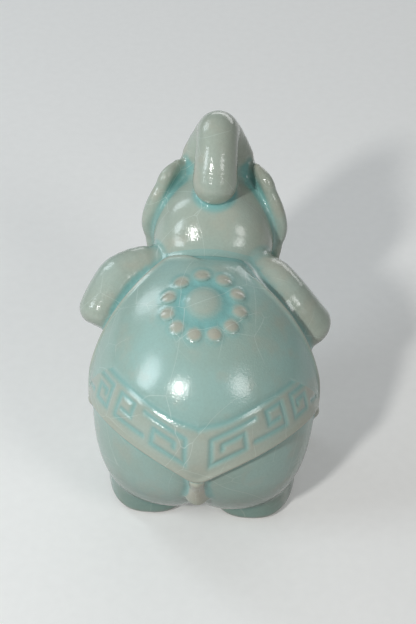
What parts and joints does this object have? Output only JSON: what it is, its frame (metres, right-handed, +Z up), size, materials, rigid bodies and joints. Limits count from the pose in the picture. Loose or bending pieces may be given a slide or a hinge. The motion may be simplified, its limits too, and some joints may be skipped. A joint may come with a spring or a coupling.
{
  "type": "ceramic elephant figurine",
  "caption": "Chubby celadon-glazed elephant ornament with raised trunk, wavy ears, held-out front legs and a meander-bordered cloth with a beaded medallion on its back.",
  "frame": {"origin": "on the ground plane, under the middle of the whole ornament", "axes": "+Z up, +Y the way the elephant faces, +X to its right"},
  "size_m": [0.0766, 0.0956, 0.1031],
  "materials": {
    "celadon_glaze": "gloss",
    "thin_glaze": "gloss"
  },
  "bodies": {
    "root": {"body_shell": "celadon_glaze", "head_shell": "celadon_glaze", "trunk": "celadon_glaze", "left_ear": "celadon_glaze", "right_ear": "celadon_glaze", "left_front_leg": "celadon_glaze", "right_front_leg": "celadon_glaze", "left_hind_foot": "celadon_glaze", "right_hind_foot": "celadon_glaze", "tail": "celadon_glaze", "saddle_cloth": "celadon_glaze", "medallion_boss": "thin_glaze", "medallion_bead_01": "thin_glaze", "medallion_bead_02": "thin_glaze", "medallion_bead_03": "thin_glaze", "medallion_bead_04": "thin_glaze", "medallion_bead_05": "thin_glaze", "medallion_bead_06": "thin_glaze", "medallion_bead_07": "thin_glaze", "medallion_bead_08": "thin_glaze", "medallion_bead_09": "thin_glaze", "medallion_bead_10": "thin_glaze", "medallion_bead_11": "thin_glaze", "left_flank_tassel": "thin_glaze", "right_flank_tassel": "thin_glaze", "left_eye": "thin_glaze", "right_eye": "thin_glaze"}
  },
  "joints": []
}
